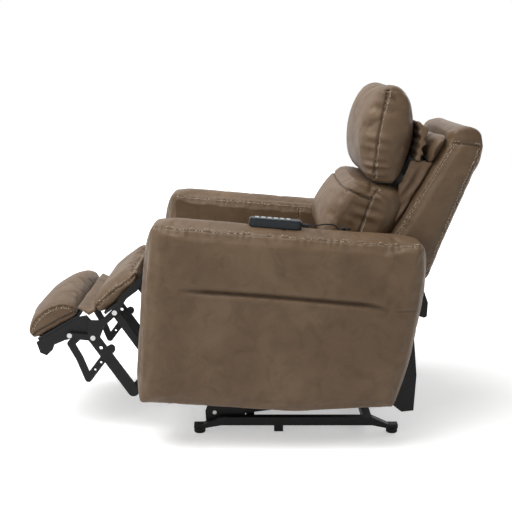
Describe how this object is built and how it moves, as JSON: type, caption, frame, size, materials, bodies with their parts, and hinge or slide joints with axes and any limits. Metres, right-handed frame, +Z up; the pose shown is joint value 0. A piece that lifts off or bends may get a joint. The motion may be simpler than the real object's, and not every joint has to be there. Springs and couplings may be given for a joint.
{
  "type": "lift recliner chair",
  "caption": "Powered lift recliner chair with thick padded arms, pillow headrest, raised two-pad footrest on black steel links, a corded handset and a steel lift base.",
  "frame": {"origin": "middle of the chair's length and width, on the floor", "axes": "+X across the chair, to the sitter's left; -Y is the front; +Z up"},
  "size_m": [0.8162, 1.3306, 1.036],
  "materials": {
    "leather": "satin",
    "black_steel": "satin",
    "bright_steel": "satin",
    "plywood": "matte",
    "black_plastic": "matte",
    "foot_rubber": "matte",
    "cord_rubber": "satin",
    "key_silver": "satin"
  },
  "bodies": {
    "base": {"base_rails": "black_steel", "base_cross_tubes": "black_steel", "floor_feet": "foot_rubber", "centre_blocks": "foot_rubber", "lift_brackets": "black_steel", "lift_base_pins": "bright_steel", "lift_motor": "black_plastic"},
    "lift_screw": {"lift_rod": "bright_steel"},
    "lift_arms": {"lift_arms": "black_steel"},
    "front_links": {"lift_front_links": "black_steel"},
    "chair": {"lift_frame_pins": "bright_steel", "side_plates": "black_steel", "lift_plates": "black_steel", "seat_rails": "plywood", "arm_frames": "plywood", "arm_left": "leather", "arm_right": "leather", "seat_springs": "bright_steel", "seat_cushion": "leather", "footrest_motor": "black_plastic", "recline_motor": "black_plastic", "control_box": "black_plastic", "frame_pivots": "bright_steel", "cord_gland": "black_plastic", "handset": "black_plastic", "handset_lead": "cord_rubber", "handset_curls": "cord_rubber", "handset_drop": "cord_rubber"},
    "footrest_slide": {"footrest_carriage": "black_plastic"},
    "recline_slide": {"recline_carriage": "black_plastic"},
    "calf": {"calf_brackets": "black_steel", "calf_board": "plywood", "calf_pad": "leather", "calf_rivets": "bright_steel", "leg_gussets": "leather"},
    "wide": {"wide_links": "black_steel"},
    "stay": {"stay_bars": "black_steel"},
    "crank": {"footrest_cranks": "black_steel", "crank_rivets": "bright_steel"},
    "v_link": {"v_links": "black_steel"},
    "ottoman": {"ottoman_rails": "black_steel", "ottoman_board": "plywood", "ottoman_pad": "leather"},
    "back": {"back_shell": "leather", "back_frame": "plywood", "back_springs": "bright_steel", "back_brackets": "black_steel", "lumbar_cushion": "leather", "back_top_pad": "leather", "headrest_lugs": "black_steel", "headrest_gather": "leather"},
    "headrest": {"headrest_pillow": "leather", "headrest_board": "plywood", "headrest_hinges": "black_steel"},
    "key_1": {"key_1": "key_silver"},
    "key_2": {"key_2": "key_silver"},
    "key_3": {"key_3": "key_silver"},
    "key_4": {"key_4": "key_silver"},
    "key_5": {"key_5": "key_silver"},
    "key_6": {"key_6": "key_silver"}
  },
  "joints": [
    {"name": "lift", "type": "hinge", "parent": "base", "child": "lift_arms", "pos_m": [0, -0.10802, 0.055], "axis": [1, 0, 0], "range_deg": [0, 36]},
    {"name": "lift_tilt", "type": "hinge", "parent": "lift_arms", "child": "chair", "pos_m": [0, 0.26898, 0.104], "axis": [1, 0, 0], "range_deg": [-15, 0.5]},
    {"name": "lift_front_link", "type": "hinge", "parent": "base", "child": "front_links", "pos_m": [0, -0.04602, 0.085], "axis": [1, 0, 0], "range_deg": [-0.5, 39]},
    {"name": "lift_screw_slide", "type": "slide", "parent": "base", "child": "lift_screw", "axis": [0, -1, 0], "range_m": [-0.001, 0.073]},
    {"name": "footrest", "type": "hinge", "parent": "chair", "child": "calf", "pos_m": [0, -0.30902, 0.47], "axis": [-1, 0, 0], "range_deg": [-45, 22], "deforming": ["leg_gussets"]},
    {"name": "footrest_crank", "type": "hinge", "parent": "chair", "child": "crank", "pos_m": [0, -0.19402, 0.305], "axis": [-1, 0, 0], "range_deg": [-46, 23]},
    {"name": "footrest_long_link", "type": "hinge", "parent": "calf", "child": "wide", "pos_m": [0, -0.46502, 0.288], "axis": [-1, 0, 0], "range_deg": [-23, 46]},
    {"name": "footrest_stay", "type": "hinge", "parent": "calf", "child": "stay", "pos_m": [0, -0.3995, 0.36444], "axis": [-1, 0, 0], "range_deg": [-23, 46]},
    {"name": "footrest_v_link", "type": "hinge", "parent": "wide", "child": "v_link", "pos_m": [0, -0.41402, 0.252], "axis": [-1, 0, 0], "range_deg": [-14, 8]},
    {"name": "ottoman_tip", "type": "hinge", "parent": "calf", "child": "ottoman", "pos_m": [0, -0.53402, 0.295], "axis": [-1, 0, 0], "range_deg": [-14, 8]},
    {"name": "footrest_carriage_slide", "type": "slide", "parent": "chair", "child": "footrest_slide", "axis": [0, 1, 0], "range_m": [-0.041, 0.021]},
    {"name": "recline", "type": "hinge", "parent": "chair", "child": "back", "pos_m": [0, 0.44598, 0.385], "axis": [-1, 0, 0], "range_deg": [-14, 25]},
    {"name": "recline_carriage_slide", "type": "slide", "parent": "chair", "child": "recline_slide", "axis": [0, -1, 0], "range_m": [-0.024, 0.042]},
    {"name": "headrest_tilt", "type": "hinge", "parent": "back", "child": "headrest", "pos_m": [0, 0.45998, 0.762], "axis": [-1, 0, 0], "range_deg": [0, 14], "deforming": ["headrest_gather"]},
    {"name": "key_1_press", "type": "slide", "parent": "chair", "child": "key_1", "axis": [0, -0.0763, -0.9971], "range_m": [0, 0.001], "stiffness_N_per_m": 300},
    {"name": "key_2_press", "type": "slide", "parent": "chair", "child": "key_2", "axis": [0, -0.0763, -0.9971], "range_m": [0, 0.001], "stiffness_N_per_m": 300},
    {"name": "key_3_press", "type": "slide", "parent": "chair", "child": "key_3", "axis": [0, -0.0763, -0.9971], "range_m": [0, 0.001], "stiffness_N_per_m": 300},
    {"name": "key_4_press", "type": "slide", "parent": "chair", "child": "key_4", "axis": [0, -0.0763, -0.9971], "range_m": [0, 0.001], "stiffness_N_per_m": 300},
    {"name": "key_5_press", "type": "slide", "parent": "chair", "child": "key_5", "axis": [0, -0.0763, -0.9971], "range_m": [0, 0.001], "stiffness_N_per_m": 300},
    {"name": "key_6_press", "type": "slide", "parent": "chair", "child": "key_6", "axis": [0, -0.0763, -0.9971], "range_m": [0, 0.001], "stiffness_N_per_m": 300}
  ],
  "couplings": [
    {"joint": "lift_tilt", "follows": "lift", "ratio": -0.4},
    {"joint": "lift_front_link", "follows": "lift", "ratio": 1.0656},
    {"joint": "lift_screw_slide", "follows": "lift", "m_per_rad": 0.115},
    {"joint": "footrest_crank", "follows": "footrest", "ratio": 1},
    {"joint": "footrest_long_link", "follows": "footrest", "ratio": -1},
    {"joint": "footrest_stay", "follows": "footrest", "ratio": -1},
    {"joint": "footrest_v_link", "follows": "footrest", "ratio": 0.28},
    {"joint": "ottoman_tip", "follows": "footrest", "ratio": 0.3},
    {"joint": "footrest_carriage_slide", "follows": "footrest", "m_per_rad": 0.0508},
    {"joint": "recline_carriage_slide", "follows": "recline", "m_per_rad": 0.0935}
  ]
}
